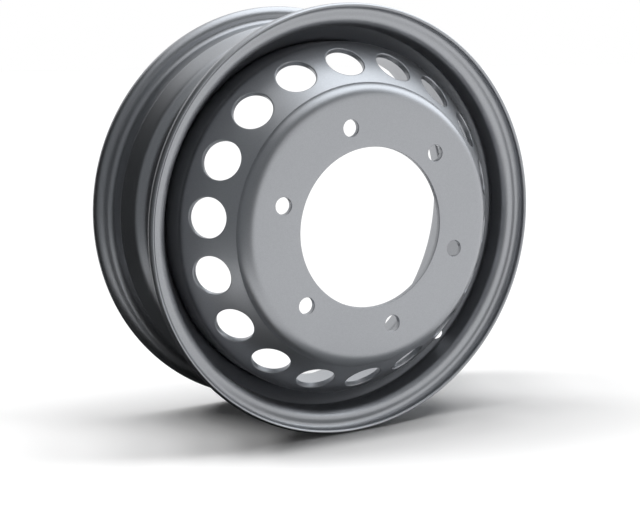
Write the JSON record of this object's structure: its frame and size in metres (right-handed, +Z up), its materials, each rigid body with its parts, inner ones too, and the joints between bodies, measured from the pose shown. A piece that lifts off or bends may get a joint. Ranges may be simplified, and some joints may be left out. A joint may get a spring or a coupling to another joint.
{
  "type": "steel wheel rim",
  "caption": "Pressed steel van wheel: a rolled drop-centre rim for a tubeless tyre, welded round a deep dished disc with a wide bore, bolt holes and a ring of round vent holes.",
  "frame": {"origin": "on the wheel's axle line, in the plane of the disc face that bears on the hub", "axes": "+Y along the axle, from the outer face in towards the vehicle; -Y is the outer side; +Z up; X across"},
  "size_m": [0.4402, 0.2041, 0.44],
  "materials": {
    "silver_paint": "satin metallic silver-grey",
    "painted_weld": "satin silver-grey over a rippled weld"
  },
  "bodies": {
    "root": {"rim": "silver_paint", "disc": "silver_paint", "weld_beads": "painted_weld"}
  },
  "joints": []
}
